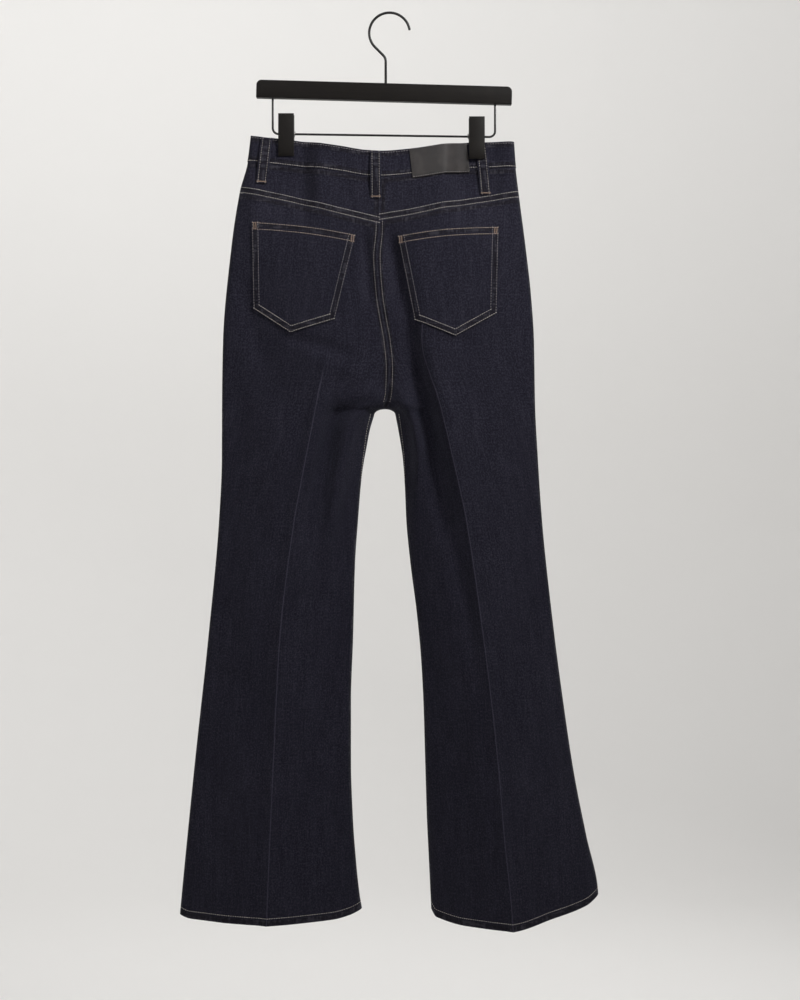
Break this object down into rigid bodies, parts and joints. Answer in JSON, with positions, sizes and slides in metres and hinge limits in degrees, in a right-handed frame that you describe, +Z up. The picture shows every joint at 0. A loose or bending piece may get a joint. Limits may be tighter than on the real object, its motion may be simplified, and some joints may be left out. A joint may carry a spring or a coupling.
{
  "type": "bootcut jeans on a clip hanger",
  "caption": "Dark denim bootcut jeans with pressed creases, hung by the waistband from a black clip hanger, back outward; legs, waist and hems are open",
  "frame": {"origin": "the inner top of the hanger's hook, where it rests on a rail or nail", "axes": "+Z up, +X to the right seen from behind the garment, +Y away from that view: the garment's back faces -Y and its front +Y"},
  "size_m": [0.5755, 0.14, 1.2505],
  "materials": {
    "denim": "raw dark indigo twill with pale grey-beige topstitching",
    "leather": "smooth black leather, blank",
    "button_metal": "dull aged metal",
    "hanger_black": "satin black",
    "hanger_wire": "dark coated wire",
    "clip_metal": "dull steel"
  },
  "bodies": {
    "root": {"back_panel_left": "denim", "back_panel_right": "denim", "front_panel_left": "denim", "front_panel_right": "denim", "yoke_left": "denim", "yoke_right": "denim", "waistband": "denim", "back_pocket_left": "denim", "back_pocket_right": "denim", "pocket_facing_left": "denim", "pocket_facing_right": "denim", "fly": "denim", "belt_loop_back_left": "denim", "belt_loop_back_centre": "denim", "belt_loop_back_right": "denim", "belt_loop_front_left": "denim", "belt_loop_front_right": "denim", "leather_patch": "leather", "waist_button": "button_metal", "hanger_bar": "hanger_black", "clip_left_back": "hanger_black", "clip_left_front": "hanger_black", "clip_right_back": "hanger_black", "clip_right_front": "hanger_black", "hanger_hook": "hanger_wire", "hanger_rail": "hanger_wire", "clip_barrel_left": "clip_metal", "clip_barrel_right": "clip_metal"}
  },
  "joints": []
}
